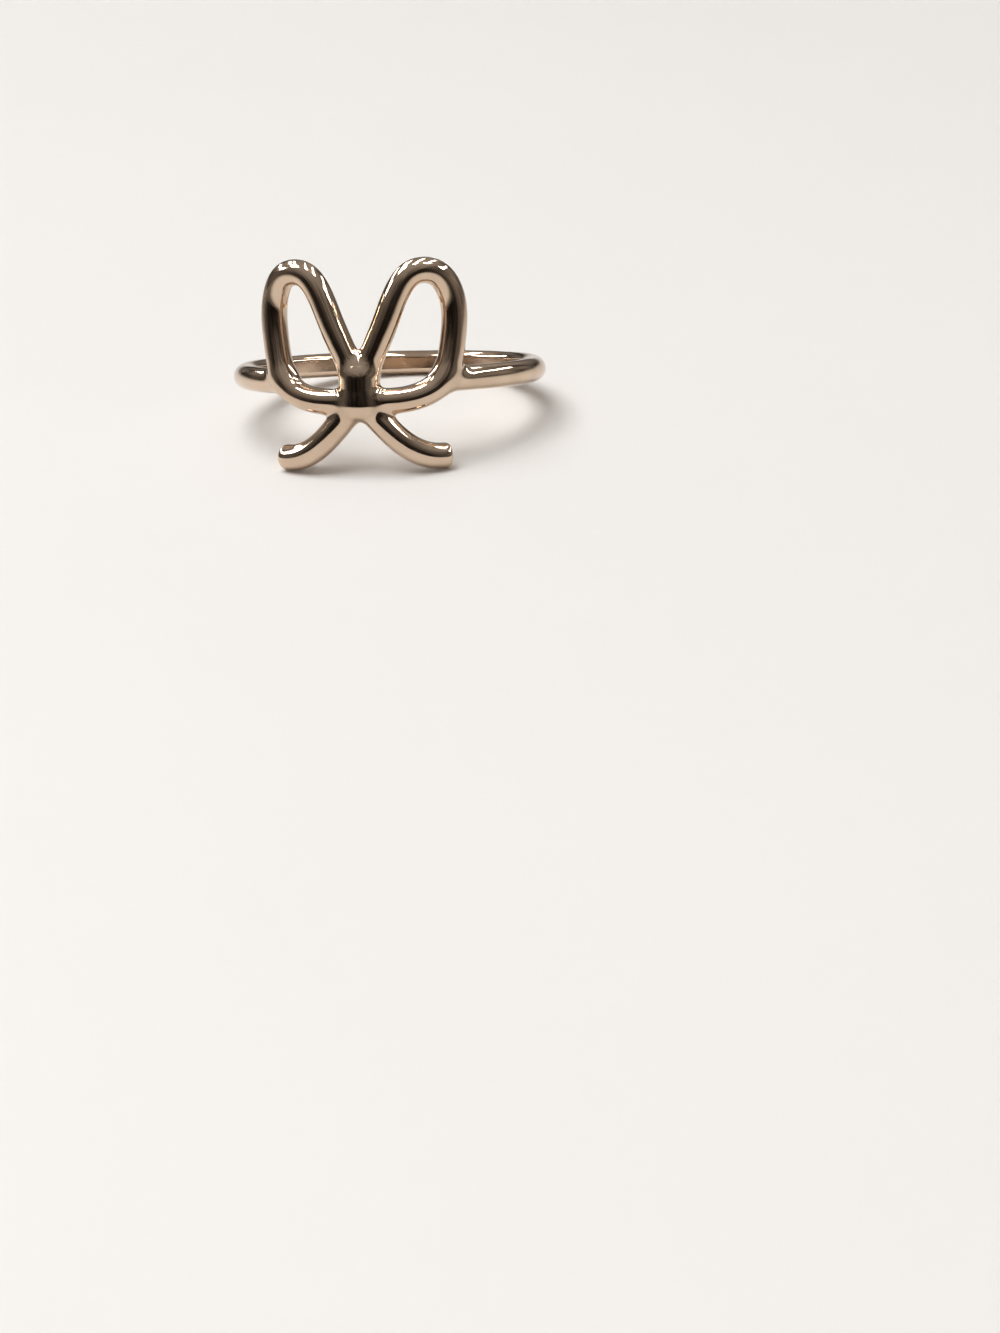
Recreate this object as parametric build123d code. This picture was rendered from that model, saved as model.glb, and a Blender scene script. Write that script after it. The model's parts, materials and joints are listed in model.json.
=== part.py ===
from build123d import *

import os
from math import asin, atan2, cos, degrees, hypot, sin

# Finger ring cast in one piece from round wire. A plain shank runs round the finger and
# carries an open wire bow at the front: two upright loops, two blunt tails and a small
# knot where they meet. The part stands as the ring rests by itself, on the tips of the
# two tails and on the back of the shank. Millimetres, with the bow facing -Y.

# Driving sizes
finger_diameter = 17.3
shank_wire = 1.56
bow_wire = 1.64
shank_grind = 0.14
bow_clearance = 0.02
loop_half_width = 6.1
loop_rise = 6.95
loop_drop = 1.22
tail_reach = 5.05
tail_drop = 4.75
tip_length = 0.6
tip_rounding = 0.35
knot_width = 2.5
knot_height = 3.5
knot_rounding = 0.9
knot_sink = 0.55

# Where the shank ends inside a loop, as a share of loop_half_width
FOOT_SHARE = 0.90

# Centre line of a loop, from the knot out along the bottom, up the outside, over the
# top and back down into the knot. Across is a share of loop_half_width, and up a share
# of the way from the bottom of the loop to its top.
LOOP_ROWS = [
    (0.04, 0.005),
    (0.25, 0.00),
    (0.475, 0.01),
    (0.84, 0.13),
    (0.985, 0.43),
    (0.975, 0.81),
    (0.815, 0.965),
    (0.57, 0.965),
    (0.425, 0.845),
    (0.295, 0.62),
    (0.165, 0.395),
    (0.033, 0.17),
]

# Centre line of a tail from inside the knot to where its tip starts. Across is a share
# of tail_reach and down a share of tail_drop.
TAIL_ROWS = [
    (0.03, 0.25),
    (0.30, 0.58),
    (0.62, 0.88),
    (1.00, 1.00),
]

# How many pairs of arcs follow each centre line
LOOP_PAIRS = 9
TAIL_PAIRS = 3

# How many times the resting tilt is worked out afresh, each time more closely
TILT_STEPS = 4

# Places that follow from the driving sizes
finger_radius = finger_diameter / 2
shank_radius = shank_wire / 2
bow_radius = bow_wire / 2
shank_line = finger_radius - shank_grind + shank_radius
bow_line = finger_radius + bow_clearance + bow_radius
tip_angle = tail_reach / bow_line
bore_length = 2 * (knot_height + shank_wire)


def on_bow(around, up):
    """Point on the cylinder of the bow's centre lines, by arc length and height."""
    angle = around / bow_line
    return Vector(bow_line * sin(angle), -bow_line * cos(angle), up)


def arc_pair(start, start_way, end, end_way):
    """Two arcs that run from start to end, and share one direction where they meet."""
    chord = end - start
    ways = start_way + end_way
    bend = 2 * (1 - start_way.dot(end_way))
    pull = chord.dot(ways)
    reach = chord.dot(chord) / (pull + (pull**2 + bend * chord.dot(chord)) ** 0.5)
    near = start + start_way * reach
    far = end - end_way * reach
    middle = (near + far) * 0.5
    return [
        TangentArc(start, middle, tangent=start_way),
        TangentArc(middle, end, tangent=far - near),
    ]


def wire_path(guide, pairs):
    """Smooth chain of arcs that follows a guide curve."""
    chain = []
    for step in range(pairs):
        first = step / pairs
        last = (step + 1) / pairs
        chain += arc_pair(guide @ first, guide % first, guide @ last, guide % last)
    return Wire(chain)


def round_wire(path, radius):
    """Round wire along a path."""
    return sweep(Plane(origin=path @ 0, z_dir=path % 0) * Circle(radius), path=path)


def round_end(place, way, radius):
    """Half ball that closes a wire which arrives at a place in a direction."""
    dome = Sphere(radius, arc_size1=0, align=(Align.CENTER, Align.CENTER, Align.MIN))
    return Plane(origin=place, z_dir=way) * dome


def ground(solid):
    """Solid with everything inside the finger's bore ground away."""
    return solid - Cylinder(finger_radius, bore_length)


def make_shank():
    """Shank from one loop round the back of the finger to the other loop."""
    foot = FOOT_SHARE * loop_half_width / bow_line
    section = Plane.XZ * Pos(shank_line, 0) * Circle(shank_radius)
    shank = revolve(Rot(0, 0, degrees(foot) - 90) * section, Axis.Z, 360 - 2 * degrees(foot))
    for side in (1, -1):
        place = Vector(side * shank_line * sin(foot), -shank_line * cos(foot), 0)
        shank += round_end(place, Vector(-side * cos(foot), -sin(foot), 0), shank_radius)
    return ground(shank)


def make_loop():
    """Loop on the +X side, with both ends inside the knot."""
    height = loop_rise + loop_drop
    points = [
        on_bow(across * loop_half_width, up * height - loop_drop) for across, up in LOOP_ROWS
    ]
    return round_wire(wire_path(Spline(points), LOOP_PAIRS), bow_radius)


def blunt_end(place, way, radius):
    """Short straight stub with a rounded rim that ends a wire."""
    stub = Cylinder(radius, tip_length, align=(Align.CENTER, Align.CENTER, Align.MIN))
    rim = stub.edges().filter_by(GeomType.CIRCLE).sort_by(Axis.Z)[-1]
    return Plane(origin=place, z_dir=way) * fillet(rim, tip_rounding)


def make_tail():
    """Tail on the +X side, which levels out at its blunt tip."""
    points = [on_bow(across * tail_reach, -down * tail_drop) for across, down in TAIL_ROWS]
    level = Vector(cos(tip_angle), sin(tip_angle), 0)
    guide = Spline(points, tangents=[(points[1] - points[0]).normalized(), level])
    tail = round_wire(wire_path(guide, TAIL_PAIRS), bow_radius)
    return tail + blunt_end(points[-1], level, bow_radius)


def make_knot():
    """Pill-shaped knot that holds the inner ends of the loops and tails."""
    pill = Cylinder(knot_width / 2, knot_height)
    rims = pill.edges().filter_by(GeomType.CIRCLE)
    return ground(Pos(0, -bow_line, -knot_sink) * fillet(rims, knot_rounding))


def tip_depth(slope):
    """How far the lowest skin of a tip lies below where the tip starts, at a fall per length."""
    level_share = (1 - slope**2) ** 0.5
    return slope * (tip_length - tip_rounding) + level_share * (bow_radius - tip_rounding) + tip_rounding


def resting_tilt():
    """Lean, in degrees, at which the tail tips and the back of the shank share a floor."""
    start = on_bow(tail_reach, -tail_drop)
    run = shank_line - start.Y
    drop = -start.Z
    tilt = atan2(drop, run)
    for _ in range(TILT_STEPS):
        depth = tip_depth(sin(tip_angle) * sin(tilt))
        tilt = atan2(drop, run) + asin((depth - shank_radius) / hypot(run, drop))
    return degrees(tilt)


def make_ring():
    """The whole casting in its resting pose."""
    body = make_shank()
    for stroke in (make_loop(), make_tail()):
        body += stroke
        body += mirror(stroke, Plane.YZ)
    body += make_knot()
    body = Rot(-resting_tilt(), 0, 0) * body
    box = body.bounding_box()
    return Pos(-box.center().X, -box.center().Y, -box.min.Z) * body


os.makedirs("parts", exist_ok=True)
export_step(make_ring(), "parts/ring.step")
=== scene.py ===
"""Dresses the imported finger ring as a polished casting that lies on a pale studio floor.

The ring is one casting: a plain shank that carries an open wire bow with two loops, two
tails and a knot. Each of those is a class that holds its own sizes, in millimetres and in
the frame of the upright ring, and works out how far any place is from its skin. RingCasting
melts them together with small fillets, as in a real casting, and makes one fine mesh of the
result in the row's frame, in metres.
"""

import json
import logging
import math
from abc import ABC, abstractmethod
from collections.abc import Callable, Sequence
from dataclasses import dataclass, field
from enum import Enum
from functools import cached_property
from itertools import product

import bpy
import numpy as np
from mathutils import Matrix, Vector


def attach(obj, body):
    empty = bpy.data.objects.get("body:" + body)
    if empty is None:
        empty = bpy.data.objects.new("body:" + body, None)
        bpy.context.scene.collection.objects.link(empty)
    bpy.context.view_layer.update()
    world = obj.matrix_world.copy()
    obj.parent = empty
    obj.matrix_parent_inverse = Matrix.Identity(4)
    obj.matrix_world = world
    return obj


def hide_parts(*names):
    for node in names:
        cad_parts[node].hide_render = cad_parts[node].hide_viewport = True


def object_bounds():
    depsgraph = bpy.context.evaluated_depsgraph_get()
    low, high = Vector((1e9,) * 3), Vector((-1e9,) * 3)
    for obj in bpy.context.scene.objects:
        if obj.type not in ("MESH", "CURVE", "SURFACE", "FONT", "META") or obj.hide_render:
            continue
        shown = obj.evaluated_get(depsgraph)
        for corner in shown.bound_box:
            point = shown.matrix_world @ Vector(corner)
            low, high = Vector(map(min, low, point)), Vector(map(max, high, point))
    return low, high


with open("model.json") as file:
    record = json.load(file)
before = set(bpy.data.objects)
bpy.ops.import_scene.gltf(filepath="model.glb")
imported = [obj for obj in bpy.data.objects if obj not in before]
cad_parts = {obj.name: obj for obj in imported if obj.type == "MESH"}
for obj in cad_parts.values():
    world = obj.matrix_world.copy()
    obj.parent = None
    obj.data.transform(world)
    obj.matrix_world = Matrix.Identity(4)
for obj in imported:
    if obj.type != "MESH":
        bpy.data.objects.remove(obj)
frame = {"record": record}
CAD_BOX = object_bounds()

LOG = logging.getLogger("ring_scene")
MM = 0.001

Array = np.ndarray
Distance = Callable[[Array], Array]
Span = tuple[float, float]
Place = tuple[float, float, float]
Colour = tuple[float, float, float]
Stops = tuple[tuple[float, Colour], ...]
Socket = bpy.types.NodeSocket
Source = Socket | float | Sequence[float]
Inputs = dict[str | int, Source]


class Side(Enum):
    """Which half of the bow a wire belongs to."""

    LEFT = -1.0
    RIGHT = 1.0


class LampRole(Enum):
    """What a lamp is there for, as (seen in diffuse light, seen in reflections)."""

    WASH = (True, False)
    STRIP = (False, True)


# Shapes

# The deepest part of a fillet fills its reach divided by this
FILLET_PARTS = 6.0

# Corners of a cube, and how much a step along each axis adds to a corner's number
CORNERS = np.array(list(product((0, 1), repeat=3)))
STEPS = (4, 2, 1)


def melt(first: Array, second: Array, reach: float) -> Array:
    """Joins two distance fields, with a fillet where they differ by less than a reach."""
    overlap = np.maximum(reach - np.abs(first - second), 0.0) / reach
    return np.minimum(first, second) - overlap**3 * reach / FILLET_PARTS


def cut(body: Array, tool: Array, softness: float) -> Array:
    """Takes a tool away from a body, and eases the edge that it leaves."""
    return -melt(-body, tool, softness)


@dataclass
class CentreLine:
    """Smooth cubic curve through a wire's guide points.

    Attributes:
        points: Guide points, one row each.
        start_way: Direction at the first point, or None to follow the points.
        end_way: Direction at the last point, or None to follow the points.
        step: Spacing of the first guesses along the curve.
        end_points: How many points the slope at an end follows.
        refinements: How many times a guess is moved towards the nearest place.
        least_pull: Steepness under which a move is taken as it stands.
    """

    points: Array
    start_way: Array | None = None
    end_way: Array | None = None
    step: float = 0.2
    end_points: int = 4
    refinements: int = 5
    least_pull: float = 0.05
    knots: Array = field(init=False)
    slopes: Array = field(init=False)
    guesses: Array = field(init=False)
    guess_places: Array = field(init=False)

    def __post_init__(self) -> None:
        """Solves for the slopes that make the curve's bend continuous."""
        chords = np.linalg.norm(np.diff(self.points, axis=0), axis=1)
        self.knots = np.concatenate([[0.0], np.cumsum(chords)])
        self.slopes = self._solve(chords)
        count = max(2, round(self.knots[-1] / self.step))
        self.guesses = np.linspace(0.0, self.knots[-1], count + 1)
        self.guess_places = self.at(self.guesses)[0]

    def _end_slope(self, order: int, way: Array | None) -> Array:
        """Slope at an end, from one curve through the points nearest to it.

        Args:
            order: 1 for the first point, or -1 for the last.
            way: Direction to use in place of that curve's own, or None.

        Returns:
            The slope as a vector.
        """
        knots = self.knots[::order][: self.end_points]
        powers = np.vander(knots - knots[0], increasing=True)
        slope = np.linalg.solve(powers, self.points[::order][: self.end_points])[1]
        if way is None:
            return slope
        return way / np.linalg.norm(way) * np.linalg.norm(slope)

    def _solve(self, chords: Array) -> Array:
        """Slopes at all guide points.

        Args:
            chords: Distance from each guide point to the next.

        Returns:
            One slope vector for each guide point.
        """
        size = len(self.points)
        table = np.zeros((size, size))
        right = np.zeros((size, 3))
        table[0, 0] = table[-1, -1] = 1.0
        right[0] = self._end_slope(1, self.start_way)
        right[-1] = self._end_slope(-1, self.end_way)
        for row in range(1, size - 1):
            before, after = chords[row - 1], chords[row]
            table[row, row - 1 : row + 2] = after, 2.0 * (before + after), before
            rise = (self.points[row] - self.points[row - 1]) * after / before
            fall = (self.points[row + 1] - self.points[row]) * before / after
            right[row] = 3.0 * (rise + fall)
        return np.linalg.solve(table, right)

    def at(self, places: Array) -> tuple[Array, Array, Array]:
        """Point, slope and bend of the curve.

        Args:
            places: Parameters along the curve.

        Returns:
            Three arrays with a row for each parameter.
        """
        last = len(self.knots) - 2
        span = np.clip(np.searchsorted(self.knots, places, side="right") - 1, 0, last)
        width = (self.knots[span + 1] - self.knots[span])[:, None]
        share = (places[:, None] - self.knots[span][:, None]) / width
        start, end = self.points[span], self.points[span + 1]
        leave, arrive = self.slopes[span] * width, self.slopes[span + 1] * width
        square = 3.0 * (end - start) - 2.0 * leave - arrive
        cube = 2.0 * (start - end) + leave + arrive
        point = start + share * (leave + share * (square + share * cube))
        slope = (leave + share * (2.0 * square + 3.0 * share * cube)) / width
        bend = (2.0 * square + 6.0 * share * cube) / width**2
        return point, slope, bend

    def distance(self, places: Array) -> Array:
        """Distance from each place to the curve.

        Args:
            places: Places, one row each.

        Returns:
            One distance for each place.
        """
        flat = self.guess_places.T
        spread = (flat**2).sum(0) - 2.0 * places @ flat
        choice = spread.argmin(1)
        square = spread[np.arange(len(places)), choice] + (places**2).sum(1)
        first = np.sqrt(np.maximum(square, 0.0))
        where = self.guesses[choice]
        gap = self.guesses[1]
        for _ in range(self.refinements):
            point, slope, bend = self.at(where)
            apart = point - places
            lean = (apart * slope).sum(1)
            pull = (slope * slope).sum(1) + (apart * bend).sum(1)
            move = np.clip(lean / np.where(pull > self.least_pull, pull, 1.0), -gap, gap)
            where = np.clip(where - move, 0.0, self.knots[-1])
        return np.minimum(np.linalg.norm(self.at(where)[0] - places, axis=1), first)


@dataclass(frozen=True)
class Shank:
    """The plain band of round wire behind the finger.

    Attributes:
        finger_diameter: Width of the finger hole.
        wire: Thickness of the wire.
        grind: How deep the finger hole cuts into the wire.
        foot_angle: Angle from the knot to either end of the band, in radians.
    """

    finger_diameter: float = 17.3
    wire: float = 1.56
    grind: float = 0.14
    foot_angle: float = 0.5785

    def distance(self, places: Array) -> Array:
        """Distance from each place to the band's skin, before grinding.

        Args:
            places: Places, one row each.

        Returns:
            One distance for each place.
        """
        line = self.finger_diameter / 2 - self.grind + self.wire / 2
        out = np.hypot(places[:, 0], places[:, 1])
        turn = np.abs(np.arctan2(places[:, 0], -places[:, 1]))
        ring = np.hypot(out - line, places[:, 2])
        side = np.abs(places[:, 0]) - line * math.sin(self.foot_angle)
        fore = places[:, 1] + line * math.cos(self.foot_angle)
        end = np.sqrt(side**2 + fore**2 + places[:, 2] ** 2)
        return np.where(turn >= self.foot_angle, ring, end) - self.wire / 2

    def bore(self, places: Array) -> Array:
        """Distance from each place to the finger hole's wall, negative inside the hole."""
        return np.hypot(places[:, 0], places[:, 1]) - self.finger_diameter / 2


@dataclass(frozen=True)
class BowWire(ABC):
    """What the loops and tails share: round wire bent to the finger's curve.

    Attributes:
        side: Which half of the bow the wire belongs to.
        wire: Thickness of the wire.
        line: Distance from the finger's axis to the middle of the wire.
    """

    side: Side
    wire: float = 1.64
    line: float = 9.49

    def on_bow(self, across: float, up: float) -> Array:
        """Point of the wire's middle, at a length across the bow and a height up it."""
        angle = self.side.value * across / self.line
        return np.array([self.line * math.sin(angle), -self.line * math.cos(angle), up])

    @property
    @abstractmethod
    def centre_line(self) -> CentreLine:
        """Curve through the wire's middle."""

    def distance(self, places: Array) -> Array:
        """Distance from each place to the wire's skin."""
        return self.centre_line.distance(places) - self.wire / 2


@dataclass(frozen=True)
class BowLoop(BowWire):
    """One of the two upright loops.

    ROWS are its guide points, as shares of half_width and of the height.

    Attributes:
        half_width: Reach of a loop to its side.
        rise: Height of a loop's middle line above the shank.
        drop: Depth of a loop's middle line below the shank.
    """

    half_width: float = 6.1
    rise: float = 6.95
    drop: float = 1.22

    ROWS = (
        (0.04, 0.005), (0.25, 0.00), (0.475, 0.01), (0.84, 0.13),
        (0.985, 0.43), (0.975, 0.81), (0.815, 0.965), (0.57, 0.965),
        (0.425, 0.845), (0.295, 0.62), (0.165, 0.395), (0.033, 0.17),
    )

    @cached_property
    def centre_line(self) -> CentreLine:
        """Curve from the knot out along the bottom, up, over the top and back down."""
        places = ((a * self.half_width, u * (self.rise + self.drop)) for a, u in self.ROWS)
        return CentreLine(np.array([self.on_bow(a, u - self.drop) for a, u in places]))


@dataclass(frozen=True)
class BowTail(BowWire):
    """One of the two blunt tails that the ring stands on.

    ROWS are its guide points, as shares of reach and of drop.

    Attributes:
        reach: Length of a tail to its side, up to where its tip starts.
        drop: Depth of its tip below the shank.
        tip_length: Length of the straight tip.
        tip_rounding: Reach of the tip's rounded rim.
    """

    reach: float = 5.05
    drop: float = 4.75
    tip_length: float = 0.6
    tip_rounding: float = 0.62

    ROWS = ((0.03, 0.25), (0.30, 0.58), (0.62, 0.88), (1.00, 1.00))

    @property
    def level(self) -> Array:
        """Direction in which the tip points."""
        angle = self.reach / self.line
        return np.array([self.side.value * math.cos(angle), math.sin(angle), 0.0])

    @cached_property
    def centre_line(self) -> CentreLine:
        """Curve from inside the knot to where the tip starts, which levels out."""
        points = np.array([self.on_bow(a * self.reach, -d * self.drop) for a, d in self.ROWS])
        return CentreLine(points, start_way=points[1] - points[0], end_way=self.level)

    def distance(self, places: Array) -> Array:
        """Distance from each place to the curved wire with its straight tip, cut off blunt.

        Args:
            places: Places, one row each.

        Returns:
            One distance for each place.
        """
        apart = places - self.on_bow(self.reach, -self.drop)
        along = apart @ self.level
        out = np.linalg.norm(apart - np.maximum(along, 0.0)[:, None] * self.level, axis=1)
        wire = np.minimum(super().distance(places), out - self.wire / 2)
        return cut(wire, self.tip_length - along, self.tip_rounding)


@dataclass(frozen=True)
class Knot:
    """The pill-shaped knot that holds the loops and tails.

    Attributes:
        width: Thickness of the knot.
        height: Height of the knot.
        rounding: Radius of its rims.
        sink: Depth of its middle below the shank.
        line: Distance from the finger's axis to its own.
    """

    width: float = 2.5
    height: float = 3.5
    rounding: float = 0.9
    sink: float = 0.55
    line: float = 9.49

    def distance(self, places: Array) -> Array:
        """Distance from each place to the knot's skin, before grinding.

        Args:
            places: Places, one row each.

        Returns:
            One distance for each place.
        """
        out = np.hypot(places[:, 0], places[:, 1] + self.line) - self.width / 2 + self.rounding
        up = np.abs(places[:, 2] + self.sink) - self.height / 2 + self.rounding
        outside = np.hypot(np.maximum(out, 0.0), np.maximum(up, 0.0))
        return outside + np.minimum(np.maximum(out, up), 0.0) - self.rounding


@dataclass(frozen=True)
class HandFinish:
    """Slight unevenness that casting and hand polishing leave in the wire.

    Attributes:
        depth: Greatest height of the waves.
        waves: Way and tightness of each wave, in radians a millimetre, and its start.
    """

    depth: float = 0.022
    waves: tuple[tuple[float, float, float, float], ...] = (
        (1.13, 0.41, 0.77, 0.3),
        (-0.62, 1.27, 0.58, 1.9),
        (0.87, -0.79, 1.05, 4.1),
        (0.21, 0.93, -1.31, 2.6),
    )

    def height(self, places: Array) -> Array:
        """Height of the unevenness.

        Args:
            places: Places, one row each.

        Returns:
            One height for each place.
        """
        total = np.zeros(len(places))
        for *way, start in self.waves:
            total += np.sin(places @ np.array(way) + start)
        return total * self.depth / len(self.waves)


@dataclass(frozen=True)
class SkinNet:
    """Makes a mesh of even four-sided faces over a distance field's skin.

    Attributes:
        cell: Size of the smallest cells, and so of the faces.
        halvings: How often the largest cells are halved.
        margin: Room around the shape.
        search_share: How near a cell's middle the skin has to be, as a share of the cell.
        search_extra: What is added to that, because the fields aren't exact.
        probe: How far from a place its slope is measured.
        relaxing: How many times the faces are evened out.
        relax_share: How far a vertex goes each time towards the middle of its neighbours.
    """

    cell: float = 0.1
    halvings: int = 4
    margin: float = 0.5
    search_share: float = 0.9
    search_extra: float = 0.02
    probe: float = 0.01
    relaxing: int = 4
    relax_share: float = 0.6

    def build(self, distance: Distance, low: Array, high: Array) -> tuple[Array, Array, Array]:
        """Builds the mesh.

        Args:
            distance: Gives distances to the skin.
            low: Lowest corner of the shape.
            high: Highest corner of the shape.

        Returns:
            The vertices, the faces as rows of four vertex numbers, and the skin's normals.
        """
        start = low - self.margin
        cells = self._cells(distance, start, high + self.margin)
        # The keys need room for the neighbours before the first cell and after the last
        spread = cells.max(0) + 3
        keys = self._keys(cells[:, None] + CORNERS, spread)
        unique, slots = np.unique(keys.ravel(), return_inverse=True)
        grid = np.stack(np.unravel_index(unique, spread), axis=1) - 1
        values = distance(start + grid * self.cell)[slots.reshape(keys.shape)]
        inside = values < 0
        active = inside.any(1) & ~inside.all(1)
        cells, values, inside = cells[active], values[active], inside[active]
        vertices = start + (cells + self._crossings(values, inside)) * self.cell
        return self._settle(distance, vertices, self._quads(cells, inside, spread))

    def _keys(self, cells: Array, spread: Array) -> Array:
        """One whole number for each cell or corner, from one before the first."""
        return ((cells[..., 0] + 1) * spread[1] + cells[..., 1] + 1) * spread[2] + cells[..., 2] + 1

    def _cells(self, distance: Distance, low: Array, high: Array) -> Array:
        """Smallest cells that the skin may pass through.

        Args:
            distance: Gives distances to the skin.
            low: Lowest corner to search.
            high: Highest corner to search.

        Returns:
            The cells' whole-number places.
        """
        counts = np.ceil((high - low) / (self.cell * 2**self.halvings)).astype(int)
        cells = np.stack(np.meshgrid(*map(np.arange, counts), indexing="ij"), -1).reshape(-1, 3)
        for level in range(self.halvings, -1, -1):
            size = self.cell * 2**level
            away = np.abs(distance(low + (cells + 0.5) * size))
            cells = cells[away < size * self.search_share + self.search_extra]
            if level:
                cells = (2 * cells[:, None] + CORNERS).reshape(-1, 3)
        return cells

    def _crossings(self, values: Array, inside: Array) -> Array:
        """Middle of the places where the skin crosses each cell's edges.

        Args:
            values: Distances at the eight corners of each cell.
            inside: Whether each corner is inside the shape.

        Returns:
            One place in each cell, from 0 to 1 along each axis.
        """
        total = np.zeros((len(values), 3))
        count = np.zeros(len(values))
        for first, step in product(range(len(CORNERS)), reversed(STEPS)):
            if first & step:
                continue
            second = first + step
            crossed = inside[:, first] != inside[:, second]
            gap = np.where(crossed, values[:, first] - values[:, second], 1.0)
            share = np.where(crossed, values[:, first] / gap, 0.0)[:, None]
            place = CORNERS[first] + share * (CORNERS[second] - CORNERS[first])
            total += np.where(crossed[:, None], place, 0.0)
            count += crossed
        return total / count[:, None]

    def _quads(self, cells: Array, inside: Array, spread: Array) -> Array:
        """Faces around the grid edges that the skin crosses.

        Args:
            cells: The cells that hold a vertex.
            inside: Whether each of their corners is inside the shape.
            spread: Size of the grid.

        Returns:
            Rows of four vertex numbers, turned outwards.
        """
        keys = self._keys(cells, spread)
        order = np.argsort(keys)
        ways = np.eye(3, dtype=int)
        found = []
        for axis, step in enumerate(STEPS):
            crossed = inside[:, 0] != inside[:, step]
            own = cells[crossed]
            back, left = ways[(axis + 1) % 3], ways[(axis + 2) % 3]
            around = [self._keys(own - off, spread) for off in (0, back, back + left, left)]
            picked = [order[np.searchsorted(keys, key, sorter=order)] for key in around]
            quads = np.stack(picked, axis=1)
            turned = ~inside[crossed, 0]
            quads[turned] = quads[turned][:, ::-1]
            found.append(quads)
        return np.concatenate(found)

    def _slope(self, distance: Distance, places: Array) -> Array:
        """Direction in which the distance grows, and how fast.

        Args:
            distance: Gives distances to the skin.
            places: Places, one row each.

        Returns:
            One vector for each place.
        """
        slope = np.empty_like(places)
        for axis in range(3):
            ahead, behind = places.copy(), places.copy()
            ahead[:, axis] += self.probe
            behind[:, axis] -= self.probe
            slope[:, axis] = (distance(ahead) - distance(behind)) / (2.0 * self.probe)
        return slope

    def _settle(
        self, distance: Distance, places: Array, quads: Array
    ) -> tuple[Array, Array, Array]:
        """Evens out the faces and lays every vertex on the skin.

        Args:
            distance: Gives distances to the skin.
            places: The vertices as first found.
            quads: The faces.

        Returns:
            The vertices, the faces and the skin's normals.
        """
        size = len(places)
        first = quads.ravel()
        second = np.roll(quads, -1, axis=1).ravel()
        ties = np.bincount(first, minlength=size) + np.bincount(second, minlength=size)
        for step in range(self.relaxing + 1):
            slope = self._slope(distance, places)
            steep = (slope**2).sum(1, keepdims=True)
            places = places - slope * distance(places)[:, None] / steep
            if step == self.relaxing:
                break
            mean = np.empty_like(places)
            for axis in range(3):
                pulls = np.bincount(first, places[second, axis], size)
                mean[:, axis] = pulls + np.bincount(second, places[first, axis], size)
            move = mean / ties[:, None] - places
            normal = slope / np.sqrt(steep)
            across = move - (move * normal).sum(1, keepdims=True) * normal
            places = places + self.relax_share * across
        slope = self._slope(distance, places)
        return places, quads, slope / np.linalg.norm(slope, axis=1, keepdims=True)


def make_piece(
    name: str, corners: list[Place], faces: list[tuple[int, ...]], material: bpy.types.Material
) -> bpy.types.Object:
    """Makes a smooth piece and puts it in the scene.

    Args:
        name: Name of the piece.
        corners: Its corners, in metres.
        faces: The numbers of each face's corners.
        material: Its material.

    Returns:
        The piece.
    """
    mesh = bpy.data.meshes.new(name)
    mesh.from_pydata(corners, [], faces)
    mesh.shade_smooth()
    mesh.materials.append(material)
    piece = bpy.data.objects.new(name, mesh)
    bpy.context.scene.collection.objects.link(piece)
    return piece


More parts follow.
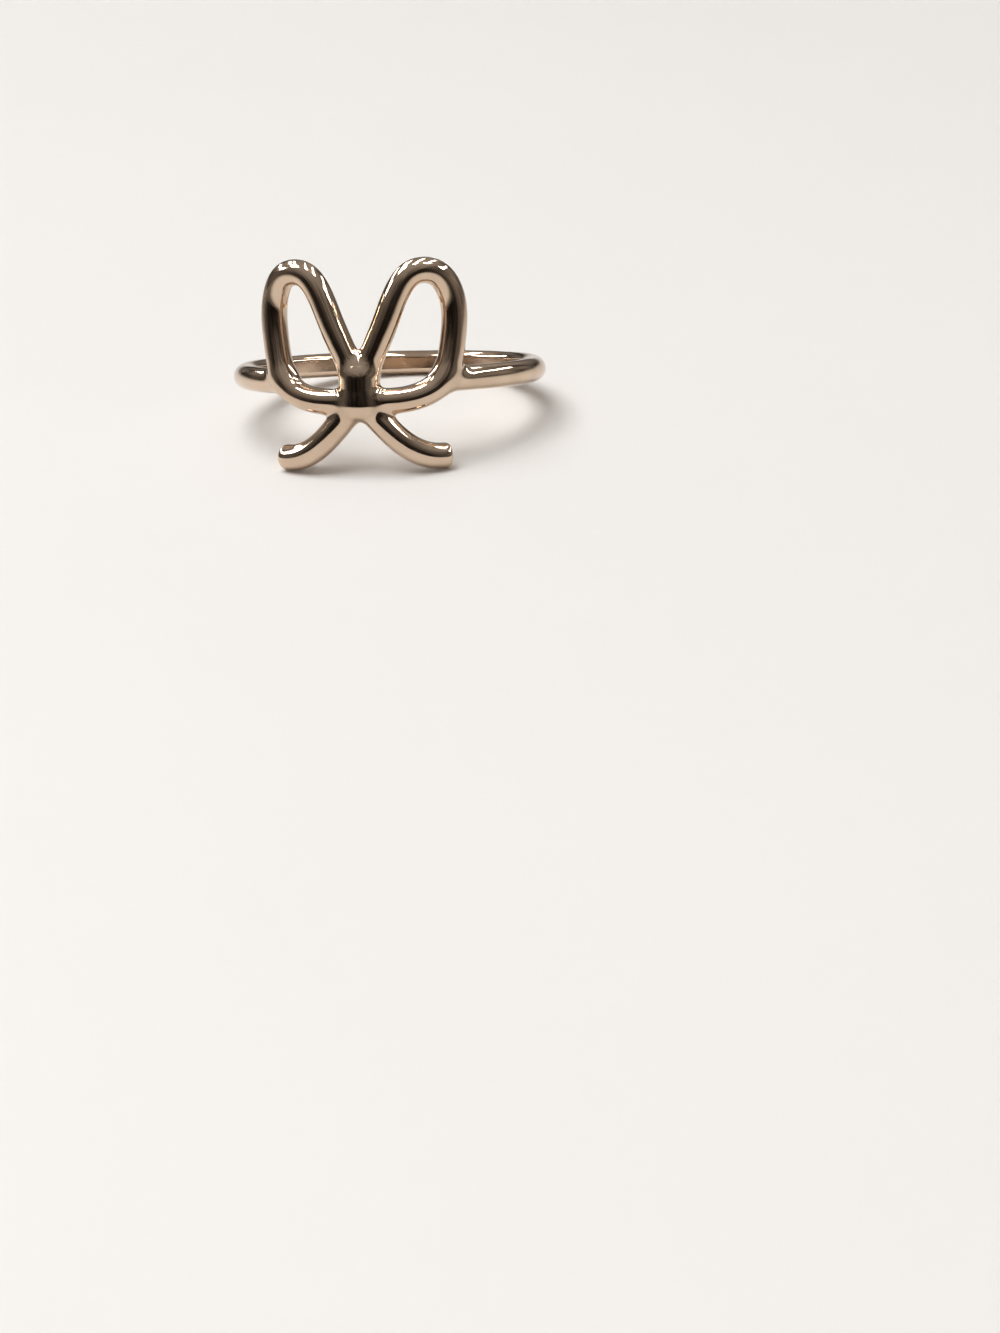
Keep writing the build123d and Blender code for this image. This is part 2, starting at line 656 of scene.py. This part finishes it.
@dataclass(frozen=True)
class RingCasting:
    """The whole ring, melted together from its parts.

    Attributes:
        shank: The plain band.
        loops: The two loops of the bow.
        tails: The two tails of the bow.
        knot: The knot at the front.
        unevenness: Waves that hand polishing leaves.
        net: What makes the mesh.
        low: Lowest corner of the room that the upright ring takes.
        high: Highest corner of that room.
        shoulder_fillet: Reach of the fillets between the band and the loops.
        knot_fillet: Reach of the fillets at the knot.
        edge_softness: Reach of the eased edges of the ground wall.
        ground_share: Depth at which a place no longer is on the ground wall, as a share
            of edge_softness.
    """

    shank: Shank = Shank()
    loops: tuple[BowLoop, ...] = tuple(BowLoop(side) for side in Side)
    tails: tuple[BowTail, ...] = tuple(BowTail(side) for side in Side)
    knot: Knot = Knot()
    unevenness: HandFinish = HandFinish()
    net: SkinNet = SkinNet()
    low: Place = (-11.0, -11.0, -6.0)
    high: Place = (11.0, 11.0, 8.0)
    shoulder_fillet: float = 0.9
    knot_fillet: float = 0.7
    edge_softness: float = 0.07
    ground_share: float = 0.3

    def _parts(self, places: Array) -> tuple[Array, Array, Array, Array]:
        """Distances to the parts, each by itself.

        Args:
            places: Places, one row each.

        Returns:
            The distances to the loops, tails, knot and band.
        """
        loops = melt(*(loop.distance(places) for loop in self.loops), self.knot_fillet)
        tails = melt(*(tail.distance(places) for tail in self.tails), self.knot_fillet)
        return loops, tails, self.knot.distance(places), self.shank.distance(places)

    def _whole(self, parts: tuple[Array, Array, Array, Array]) -> Array:
        """Distances to the parts when they are melted together.

        Args:
            parts: Distances to the loops, tails, knot and band.

        Returns:
            One distance for each place.
        """
        loops, tails, knot, shank = parts
        bow = melt(melt(loops, tails, self.knot_fillet), knot, self.knot_fillet)
        return melt(bow, shank, self.shoulder_fillet)

    def distance(self, places: Array) -> Array:
        """Distance from each place to the finished ring's skin."""
        body = self._whole(self._parts(places)) - self.unevenness.height(places)
        return cut(body, self.shank.bore(places), self.edge_softness)

    def crevice(self, places: Array) -> Array:
        """How deep each place of the skin lies in a fillet.

        Args:
            places: Places, one row each.

        Returns:
            A share from 0 to 1 for each place.
        """
        parts = self._parts(places)
        filled = np.minimum.reduce(parts) - self._whole(parts)
        return np.clip(filled * FILLET_PARTS / self.knot_fillet, 0.0, 1.0)

    def ground(self, places: Array) -> Array:
        """How surely each place of the skin is on the ground wall, from 0 to 1."""
        depth = self.ground_share * self.edge_softness
        return np.clip(1.0 - np.abs(self.shank.bore(places)) / depth, 0.0, 1.0)

    def placement(self) -> Matrix:
        """Turn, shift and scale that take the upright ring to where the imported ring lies.

        Returns:
            The matrix, from millimetres to metres.
        """
        mount = next(m for m in frame["record"]["mounts"] if m["name"] == "finger_bore")
        axis = Vector(mount["axis"])
        lean = Matrix.Rotation(-math.atan2(axis.y, axis.z), 4, "X")
        return Matrix.Translation(mount["pos_m"]) @ lean @ Matrix.Scale(MM, 4)

    def build(self, name: str, finish: "MetalFinish") -> bpy.types.Object:
        """Makes and dresses the ring.

        Args:
            name: Name of the piece.
            finish: The metal's finish.

        Returns:
            The ring in the row's frame.
        """
        low, high = np.array(self.low), np.array(self.high)
        places, quads, normals = self.net.build(self.distance, low, high)
        placement = np.array(self.placement())
        turn, shift = placement[:3, :3].T, placement[:3, 3]
        material = finish.material("ring_metal")
        ring = make_piece(name, (places @ turn + shift).tolist(), quads.tolist(), material)
        ring.data.normals_split_custom_set_from_vertices((normals @ turn / MM).tolist())
        layers = ring.data.attributes
        for layer, values in (("crevice", self.crevice(places)), ("ground", self.ground(places))):
            layers.new(layer, "FLOAT", "POINT").data.foreach_set("value", values)
        layers.new("place", "FLOAT_VECTOR", "POINT").data.foreach_set("vector", places.ravel())
        return ring


# Finishes


@dataclass(frozen=True)
class Clouds:
    """Cloudy pattern that a finish or a room uses.

    Attributes:
        scale: How many clouds there are in a unit of length.
        detail: How many finer layers they have.
        span: Values of the plain pattern that become the result's ends, or None to leave
            it plain. Its mean is 0.5.
        result: Those ends.
        squeeze: How much closer together the clouds are along each axis, or None.
    """

    scale: float
    detail: float
    span: Span | None = None
    result: Span = (0.0, 1.0)
    squeeze: Place | None = None


class Graph:
    """A material's or a room's nodes, wired one after another.

    The mix node names its colour sockets as it names others, so they go by number.
    """

    MIX_FIRST, MIX_SECOND, MIX_RESULT = 6, 7, 2

    def __init__(self, tree: bpy.types.NodeTree) -> None:
        """Empties the tree and keeps it."""
        self.tree = tree
        tree.nodes.clear()

    def node(self, kind: str, inputs: Inputs | None = None, **settings: object) -> bpy.types.Node:
        """Adds a node.

        Args:
            kind: The node's type.
            inputs: Value or source for each input, by name or number.
            settings: The node's own settings.

        Returns:
            The new node.
        """
        made = self.tree.nodes.new(kind)
        for name, value in settings.items():
            setattr(made, name, value)
        for name, value in (inputs or {}).items():
            socket = made.inputs[name]
            if isinstance(value, Socket):
                self.tree.links.new(value, socket)
            else:
                socket.default_value = (*value, 1.0) if socket.type == "RGBA" else value
        return made

    def layer(self, name: str, output: str) -> Socket:
        """Values that the mesh keeps for its vertices."""
        return self.node("ShaderNodeAttribute", attribute_name=name).outputs[output]

    def maths(self, kind: str, *values: Source) -> Socket:
        """Result of an arithmetic node on up to three values."""
        return self.node("ShaderNodeMath", dict(enumerate(values)), operation=kind).outputs[0]

    def band(self, value: Source, span: Span, result: Span = (0.0, 1.0)) -> Socket:
        """Carries a value from a span to a result, and holds it there.

        Args:
            value: The value.
            span: Values that become the ends of the result.
            result: Those ends.

        Returns:
            The new value's socket.
        """
        ends = ("From Min", "From Max", "To Min", "To Max")
        inputs = {"Value": value, **dict(zip(ends, (*span, *result)))}
        return self.node("ShaderNodeMapRange", inputs, clamp=True).outputs["Result"]

    def clouds(self, place: Socket, clouds: Clouds, turn: Place = (0.0, 0.0, 0.0)) -> Socket:
        """Cloudy pattern.

        Args:
            place: Place that the pattern is for.
            clouds: What the pattern is like.
            turn: Turn of the way in which it is squeezed, in radians about each axis.

        Returns:
            The pattern's value.
        """
        if clouds.squeeze:
            inputs = {"Vector": place, "Rotation": turn, "Scale": clouds.squeeze}
            place = self.node("ShaderNodeMapping", inputs).outputs[0]
        inputs = {"Vector": place, "Scale": clouds.scale, "Detail": clouds.detail}
        plain = self.node("ShaderNodeTexNoise", inputs).outputs["Fac"]
        return self.band(plain, clouds.span, clouds.result) if clouds.span else plain

    def ramp(self, value: Source, stops: Stops) -> Socket:
        """Colour picked from a row of stops.

        Args:
            value: The source of the place along the row.
            stops: Place and colour of each stop.

        Returns:
            The colour's socket.
        """
        made = self.node("ShaderNodeValToRGB", {"Fac": value})
        row = made.color_ramp.elements
        while len(row) < len(stops):
            row.new(1.0)
        for element, (place, colour) in zip(row, stops):
            element.position = place
            element.color = (*colour, 1.0)
        return made.outputs["Color"]

    def blend(self, share: Socket, first: Socket | Colour, second: Socket | Colour) -> Socket:
        """Mix of two colours, at a share of the second."""
        inputs = {"Factor": share, self.MIX_FIRST: first, self.MIX_SECOND: second}
        return self.node("ShaderNodeMix", inputs, data_type="RGBA").outputs[self.MIX_RESULT]

    def bump(self, depth: float, height: Socket, under: Socket | None = None) -> Socket:
        """Normal of a skin that a pattern raises.

        Args:
            depth: How high a pattern of 1 stands, in millimetres.
            height: The pattern.
            under: Normal that the pattern lies over, or None for the skin's own.

        Returns:
            The new normal's socket.
        """
        inputs = {"Strength": 1.0, "Distance": depth * MM, "Height": height}
        if under is not None:
            inputs["Normal"] = under
        return self.node("ShaderNodeBump", inputs).outputs[0]


class Finish(ABC):
    """What every finish shares."""

    def material(self, name: str) -> bpy.types.Material:
        """Builds the material.

        Args:
            name: Name of the material.

        Returns:
            The material.
        """
        made = bpy.data.materials.new(name)
        made.use_nodes = True
        graph = Graph(made.node_tree)
        shader = graph.node("ShaderNodeBsdfPrincipled", self.inputs(graph))
        graph.node("ShaderNodeOutputMaterial", {"Surface": shader.outputs[0]})
        return made

    @abstractmethod
    def inputs(self, graph: Graph) -> Inputs:
        """Wires nodes, and gives a value or source for each input of the shader."""


@dataclass(frozen=True)
class MetalFinish(Finish):
    """Polished champagne-gold plating with the faint marks of handling.

    Its patterns lie in the ring's own millimetres. Its fillets carry painted shade in their colour.

    Attributes:
        bright: Colour of the thickest plating.
        warm: Colour where the plating is thinner.
        plating: Where the plating is thinner.
        haze: Roughness of the polish.
        ripple: Soft waves of the polish.
        ripple_depth: Their height.
        hairline: Fine scratches from handling, in one direction.
        hairline_turns: Turn of each family of scratches, in radians.
        hairline_depth: Their depth.
        hairline_haze: Roughness that they add.
        lathe: Fine rings that grinding leaves on the finger hole's wall.
        lathe_height: Their height against the depth of the scratches.
        lathe_haze: Roughness that they add.
        crevice_shade: Dark colour painted into the fillets as painted shade.
        crevice_shade_clouds: How the painted shade varies, more here and less there.
        crevice_shade_depth: Depths in a fillet at which the painted shade starts and is complete.
        crevice_shade_share: Greatest share of the painted shade.
        crevice_haze: Roughness that the fillets gain where the painted shade lies.
    """

    bright: Colour = (0.665, 0.517, 0.395)
    warm: Colour = (0.615, 0.467, 0.346)
    plating: Clouds = Clouds(0.55, 3.0, span=(0.35, 0.65))
    haze: Clouds = Clouds(1.7, 5.0, span=(0.35, 0.7), result=(0.05, 0.12))
    ripple: Clouds = Clouds(1.1, 1.0)
    ripple_depth: float = 0.006
    hairline: Clouds = Clouds(1.0, 2.0, span=(0.68, 0.76), squeeze=(0.5, 16.0, 16.0))
    hairline_turns: tuple[Place, ...] = ((0.3, 0.2, 0.5), (1.3, 0.7, 2.1), (2.2, 1.4, 0.9))
    hairline_depth: float = 0.0004
    hairline_haze: float = 0.12
    lathe: Clouds = Clouds(1.0, 3.0, squeeze=(0.15, 0.15, 22.0))
    lathe_height: float = 2.5
    lathe_haze: float = 0.10
    # Painted shade in the fillets: its dark colour, its clouds, depths and share, and the roughness
    # that goes with it
    crevice_shade: Colour = (0.30, 0.215, 0.15)
    crevice_shade_clouds: Clouds = Clouds(2.2, 2.0)
    crevice_shade_depth: Span = (0.25, 1.0)
    crevice_shade_share: float = 0.40
    crevice_haze: float = 0.20

    def inputs(self, graph: Graph) -> Inputs:
        """Wires the metal's nodes.

        Args:
            graph: The material's nodes.

        Returns:
            Value or source for each input of the shader.
        """
        place = graph.layer("place", "Vector")
        crevice = graph.layer("crevice", "Fac")
        ground = graph.layer("ground", "Fac")
        hairlines = self._hairlines(graph, place)
        # Painted shade: the deeper a place lies in a fillet, the darker its colour, in clouds; the
        # same mask also adds roughness there
        deep = graph.band(crevice, self.crevice_shade_depth, (0.0, self.crevice_shade_share))
        crevice_shade_mask = graph.maths("MULTIPLY", deep, graph.clouds(place, self.crevice_shade_clouds))
        plating = graph.blend(graph.clouds(place, self.plating), self.bright, self.warm)
        rough = graph.clouds(place, self.haze)
        for mark, haze in (
            (hairlines, self.hairline_haze),
            (ground, self.lathe_haze),
            (crevice_shade_mask, self.crevice_haze),
        ):
            rough = graph.maths("MULTIPLY_ADD", mark, haze, rough)
        rings = graph.maths("MULTIPLY", graph.clouds(place, self.lathe), self.lathe_height)
        grain = graph.maths("MULTIPLY_ADD", rings, ground, hairlines)
        waves = graph.bump(self.ripple_depth, graph.clouds(place, self.ripple))
        return {
            # Plating colour with painted shade darkening the fillets
            "Base Color": graph.blend(crevice_shade_mask, plating, self.crevice_shade),
            "Metallic": 1.0,
            "Roughness": rough,
            "Normal": graph.bump(-self.hairline_depth, grain, waves),
        }

    def _hairlines(self, graph: Graph, place: Socket) -> Socket:
        """Fine scratches in all their directions.

        Args:
            graph: The material's nodes.
            place: Place on the ring.

        Returns:
            The scratches' strength.
        """
        total, *others = (graph.clouds(place, self.hairline, turn) for turn in self.hairline_turns)
        for lines in others:
            total = graph.maths("MAXIMUM", total, lines)
        return total


@dataclass(frozen=True)
class FloorFinish(Finish):
    """Pale, nearly plain studio floor.

    Attributes:
        pale: Main colour.
        shade: Colour of its faint clouds.
        clouds: Those clouds, in metres.
        painted_dark_reflection: Dark colour that the floor shows only to reflections, away from the
            ring: a painted dark reflection, while the camera sees the floor pale.
        painted_reflection_middle: Middle of the patch that reflections see in the floor's pale
            colour, in metres.
        painted_reflection_reach: Distances from that middle at which the painted dark reflection
            starts and is complete.
        rough: Roughness.
        shine: Strength of the plain shine.
    """

    pale: Colour = (0.86, 0.845, 0.825)
    shade: Colour = (0.83, 0.815, 0.795)
    clouds: Clouds = Clouds(14.0, 3.0)
    # Painted dark reflection of the far floor, which only glossy rays see: its colour, middle and
    # reach
    painted_dark_reflection: Colour = (0.13, 0.115, 0.10)
    painted_reflection_middle: Place = (0.0, -0.02, 0.0)
    painted_reflection_reach: Span = (0.028, 0.10)
    rough: float = 0.55
    shine: float = 0.1

    def inputs(self, graph: Graph) -> Inputs:
        """Wires the floor's nodes.

        Args:
            graph: The material's nodes.

        Returns:
            Value or source for each input of the shader.
        """
        place = graph.node("ShaderNodeTexCoord").outputs["Object"]
        plain = graph.blend(graph.clouds(place, self.clouds), self.pale, self.shade)
        ends = {0: place, 1: self.painted_reflection_middle}
        away = graph.node("ShaderNodeVectorMath", ends, operation="DISTANCE").outputs["Value"]
        # Painted reflection: to glossy rays only, the floor turns dark away from the ring, so the
        # metal mirrors a dark floor
        mirrored = graph.node("ShaderNodeLightPath").outputs["Is Glossy Ray"]
        painted_dark_reflection = graph.maths("MULTIPLY", graph.band(away, self.painted_reflection_reach), mirrored)
        return {
            "Base Color": graph.blend(painted_dark_reflection, plain, self.painted_dark_reflection),
            "Roughness": self.rough,
            "Specular IOR Level": self.shine,
        }


# Studio


@dataclass(frozen=True)
class StudioFloor:
    """Round floor under the ring, with a sweep that carries it up into a wall all round.

    The metal mirrors the dim room in place of the sweep.

    Attributes:
        radius: Radius of the flat floor, in metres.
        bend: Radius of the sweep's bend, in metres.
        sides: How many sides a round has.
        steps: How many steps the bend takes.
    """

    radius: float = 0.45
    bend: float = 0.45
    sides: int = 96
    steps: int = 16

    def build(self, finish: FloorFinish) -> list[bpy.types.Object]:
        """Makes and dresses the floor and the sweep.

        Args:
            finish: The finish of both.

        Returns:
            The two pieces, which aren't part of the object.
        """
        material = finish.material("pale_floor")
        rounds = []
        for step in range(self.steps + 1):
            turn = math.pi / 2 * step / self.steps
            out, up = self.bend * math.sin(turn), self.bend * (1 - math.cos(turn))
            rounds.append(self._round(self.radius + out, up))
        floor = make_piece("floor", rounds[0], [tuple(range(self.sides))], material)
        faces = [
            (low + corner, low + after, low + self.sides + after, low + self.sides + corner)
            for low in range(0, self.steps * self.sides, self.sides)
            for corner, after in ((c, (c + 1) % self.sides) for c in range(self.sides))
        ]
        sweep = make_piece("sweep", sum(rounds, []), faces, material)
        sweep.visible_glossy = False
        return [floor, sweep]

    def _round(self, radius: float, height: float) -> list[Place]:
        """Corners of one round."""
        turns = [math.tau * corner / self.sides for corner in range(self.sides)]
        return [(radius * math.cos(t), radius * math.sin(t), height) for t in turns]


@dataclass(frozen=True)
class Room:
    """Dim room around the floor, which the polished metal mirrors.

    Attributes:
        near_stops: Sine of the height above the horizon, and the room's colour there, on
            the camera's side.
        side_stops: The same to the left and right.
        far_stops: The same behind the ring.
        side_turn: Where the camera's side gives way to the left and right, as the share of
            the way that points there.
        far_turn: Where those give way in turn to what is behind the ring.
        clutter: Share of the light that the things in the room leave.
        ceiling: Sines of the heights between which they give way to the plain ceiling.
    """

    near_stops: Stops = (
        (-1.0, (0.30, 0.27, 0.24)),
        (0.0, (0.014, 0.012, 0.011)),
        (0.33, (0.022, 0.019, 0.017)),
        (0.50, (0.13, 0.118, 0.108)),
        (0.70, (0.28, 0.265, 0.25)),
        (1.0, (0.40, 0.385, 0.365)),
    )
    side_stops: Stops = (
        (-1.0, (0.30, 0.27, 0.24)),
        (0.0, (0.12, 0.109, 0.099)),
        (0.33, (0.16, 0.147, 0.133)),
        (0.70, (0.29, 0.273, 0.254)),
        (1.0, (0.40, 0.385, 0.365)),
    )
    far_stops: Stops = (
        (-1.0, (0.30, 0.27, 0.24)),
        (0.0, (0.13, 0.120, 0.110)),
        (0.30, (0.22, 0.205, 0.19)),
        (0.70, (0.33, 0.315, 0.295)),
        (1.0, (0.38, 0.365, 0.345)),
    )
    side_turn: Span = (0.60, 1.0)
    far_turn: Span = (-0.1, 0.45)
    clutter: Clouds = Clouds(
        1.0, 6.0, span=(0.36, 0.64), result=(0.22, 1.65), squeeze=(3.4, 1.6, 2.4)
    )
    ceiling: Span = (0.50, 0.80)

    def build(self) -> None:
        """Sets the room around the scene."""
        world = bpy.data.worlds.new("room")
        world.use_nodes = True
        graph = Graph(world.node_tree)
        way = graph.node("ShaderNodeTexCoord").outputs["Generated"]
        right, back, up = graph.node("ShaderNodeSeparateXYZ", {"Vector": way}).outputs
        # The sines run from -1 to 1, and a ramp runs from 0 to 1
        share = graph.maths("MULTIPLY_ADD", up, 0.5, 0.5)
        near, side, far = (
            graph.ramp(share, tuple((sine * 0.5 + 0.5, tone) for sine, tone in stops))
            for stops in (self.near_stops, self.side_stops, self.far_stops)
        )
        aside = graph.band(graph.maths("ABSOLUTE", right), self.side_turn)
        before = graph.blend(aside, near, side)
        colour = graph.blend(graph.band(back, self.far_turn), before, far)
        clutter = graph.clouds(way, self.clutter)
        lost = graph.maths("SUBTRACT", 1.0, clutter)
        strength = graph.maths("MULTIPLY_ADD", graph.band(up, self.ceiling), lost, clutter)
        shade = graph.node("ShaderNodeBackground", {"Color": colour, "Strength": strength})
        graph.node("ShaderNodeOutputWorld", {"Surface": shade.outputs[0]})
        bpy.context.scene.world = world


@dataclass(frozen=True)
class Lamp:
    """One flat white lamp.

    Attributes:
        name: Name of the lamp.
        role: What the lamp is there for.
        place: Its middle, in metres.
        size: Width and length, in metres.
        power: Light given, in watts.
        turn: How it is turned from facing straight down, in radians about each axis.
    """

    name: str
    role: LampRole
    place: Place
    size: Span
    power: float
    turn: Place = (0.0, 0.0, 0.0)

    def build(self) -> bpy.types.Object:
        """Makes the lamp.

        Returns:
            The lamp.
        """
        light = bpy.data.lights.new(self.name, "AREA")
        light.shape = "RECTANGLE"
        light.size, light.size_y = self.size
        light.energy = self.power
        lamp = bpy.data.objects.new(self.name, light)
        lamp.location = self.place
        lamp.rotation_euler = self.turn
        lamp.visible_diffuse, lamp.visible_glossy = self.role.value
        bpy.context.scene.collection.objects.link(lamp)
        return lamp


@dataclass(frozen=True)
class Studio:
    """Lamps of the studio: one soft wash for the floor, and strips that the metal mirrors.

    The strips form an arch over the ring. Each is a thin tube that ends in a wider head, so
    a mirrored strip is a dash with a drop at its end. Lengths are in metres.

    Attributes:
        wash: The soft lamp overhead.
        strip_angles: Lean of each strip from straight overhead, in degrees.
        strip_reach: Distance of the strips from the ring.
        strip_size: Width and length of each strip.
        strip_power: Light given by each strip, in watts.
        strip_back: Distance of the strips' middle behind the ring.
        head_size: Width and length of the head at the near end of each strip.
        head_power: Light given by each head, in watts.
    """

    wash: Lamp = Lamp("wash", LampRole.WASH, (-0.25, -0.1, 0.75), (0.6, 0.6), 5.6)
    strip_angles: tuple[float, ...] = (-60.0, -37.0, -27.0, 1.0, 25.0, 54.0)
    strip_reach: float = 0.8
    strip_size: Span = (0.045, 0.80)
    strip_power: float = 2.6
    strip_back: float = 0.44
    head_size: Span = (0.13, 0.10)
    head_power: float = 1.3

    def build(self) -> list[bpy.types.Object]:
        """Makes every lamp.

        Returns:
            The lamps.
        """
        lamps = [self.wash.build()]
        front = self.strip_back - (self.strip_size[1] + self.head_size[1]) / 2
        for number, lean in enumerate(map(math.radians, self.strip_angles)):
            side, height = self.strip_reach * math.sin(lean), self.strip_reach * math.cos(lean)
            for kind, back, size, power in (
                ("strip", self.strip_back, self.strip_size, self.strip_power),
                ("head", front, self.head_size, self.head_power),
            ):
                name, place, turn = f"{kind}_{number}", (side, back, height), (0.0, lean, 0.0)
                lamps.append(Lamp(name, LampRole.STRIP, place, size, power, turn).build())
        return lamps


@dataclass(frozen=True)
class PhotoCamera:
    """Camera at the photograph's angle.

    Attributes:
        azimuth: Angle to the ring's right, in degrees.
        elevation: Angle above the floor, in degrees.
        roll: Turn about the view, in degrees.
        distance: Distance to the middle of the ring's box, in metres.
        lens: Focal length, in millimetres.
        sensor: Long side of the sensor, in millimetres.
        clip: Nearest and farthest distance that it sees, in metres.
        aside: How far right of the middle the camera looks, in metres.
        above: How far above the middle the camera looks, in metres.
    """

    azimuth: float = 12.3225
    elevation: float = 18.1463
    roll: float = -4.4629
    distance: float = 0.260
    lens: float = 109.152
    sensor: float = 36.0
    clip: Span = (0.005, 20.0)
    aside: float = 0.0055312
    above: float = -0.022426

    def build(self, middle: Vector) -> bpy.types.Object:
        """Makes the camera and gives it to the scene.

        Args:
            middle: Middle of the ring's box.

        Returns:
            The camera.
        """
        turn, lift = math.radians(self.azimuth), math.radians(self.elevation)
        level = math.cos(lift)
        back = Vector((math.sin(turn) * level, -math.cos(turn) * level, math.sin(lift)))
        right = Vector((math.cos(turn), math.sin(turn), 0.0))
        place = middle + back * self.distance
        aim = middle + right * self.aside + back.cross(right) * self.above
        data = bpy.data.cameras.new("camera")
        data.lens, data.sensor_width, data.sensor_fit = self.lens, self.sensor, "AUTO"
        data.clip_start, data.clip_end = self.clip
        camera = bpy.data.objects.new("camera", data)
        look = (aim - place).to_track_quat("-Z", "Y").to_matrix().to_4x4()
        roll = Matrix.Rotation(math.radians(self.roll), 4, "Z")
        camera.matrix_world = Matrix.Translation(place) @ look @ roll
        bpy.context.scene.collection.objects.link(camera)
        bpy.context.scene.camera = camera
        return camera


def main() -> None:
    """Builds the ring and its studio."""
    logging.basicConfig(level=logging.INFO, format="%(name)s: %(message)s")
    bpy.context.scene.view_settings.view_transform = "Standard"
    ring = RingCasting().build("ring_casting", MetalFinish())
    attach(ring, "root")
    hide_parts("ring")
    LOG.info("%s: %d faces", ring.name, len(ring.data.polygons))
    for piece in StudioFloor().build(FloorFinish()):
        LOG.info("%s: %.1f m wide", piece.name, piece.dimensions.x)
    Room().build()
    for lamp in Studio().build():
        LOG.info("lamp %s: %.1f W", lamp.name, lamp.data.energy)
    camera = PhotoCamera().build((CAD_BOX[0] + CAD_BOX[1]) / 2)
    LOG.info("%s: %.0f mm lens", camera.name, camera.data.lens)


if __name__ == "__main__":
    main()
